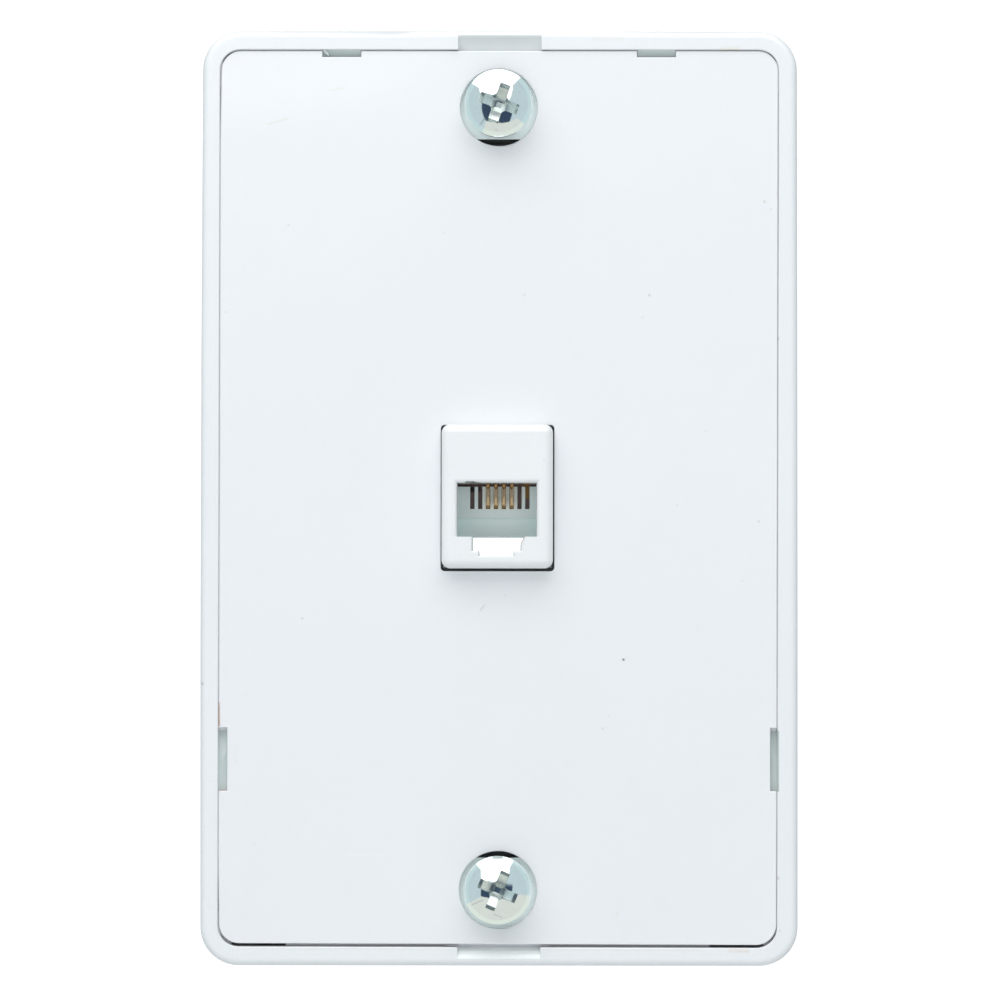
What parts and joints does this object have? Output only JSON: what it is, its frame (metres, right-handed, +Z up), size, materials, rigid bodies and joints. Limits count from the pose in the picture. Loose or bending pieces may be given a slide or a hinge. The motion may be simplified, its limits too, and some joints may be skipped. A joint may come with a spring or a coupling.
{
  "type": "telephone wall socket",
  "caption": "White wall plate with a modular telephone jack and domed studs that a wall telephone hangs on.",
  "frame": {"origin": "middle of the wall plane, halfway between the two studs and the two wall-box screws", "axes": "+X to the right, +Z up the wall, -Y out of the wall towards the viewer"},
  "size_m": [0.0775, 0.0296, 0.1214],
  "materials": {
    "frame_plastic": "white moulded plastic, fine satin",
    "plate_plastic": "white moulded plastic, fine satin, slightly bluish",
    "jack_plastic": "white moulded plastic, semi-gloss",
    "dark_insert": "dark brown moulded plastic",
    "contact_gold": "gold-plated spring wire",
    "stud_plating": "bright plated steel",
    "zinc_steel": "bright zinc",
    "terminal_brass": "turned brass",
    "tinned_copper": "tinned, satin",
    "lead_black": "soft insulation",
    "lead_yellow": "soft insulation",
    "lead_green": "soft insulation",
    "lead_red": "soft insulation"
  },
  "bodies": {
    "root": {"base_frame": "frame_plastic", "faceplate": "plate_plastic", "jack_housing": "jack_plastic", "contact_carrier": "dark_insert", "contact_wire_1": "contact_gold", "contact_wire_2": "contact_gold", "contact_wire_3": "contact_gold", "contact_wire_4": "contact_gold", "hanger_screws": "stud_plating", "hanger_nuts": "zinc_steel", "terminal_inserts": "terminal_brass", "terminal_washers": "zinc_steel", "terminal_screws": "zinc_steel", "spade_lug_black": "tinned_copper", "spade_lug_yellow": "tinned_copper", "spade_lug_green": "tinned_copper", "spade_lug_red": "tinned_copper", "lead_black": "lead_black", "lead_yellow": "lead_yellow", "lead_green": "lead_green", "lead_red": "lead_red"}
  },
  "joints": []
}
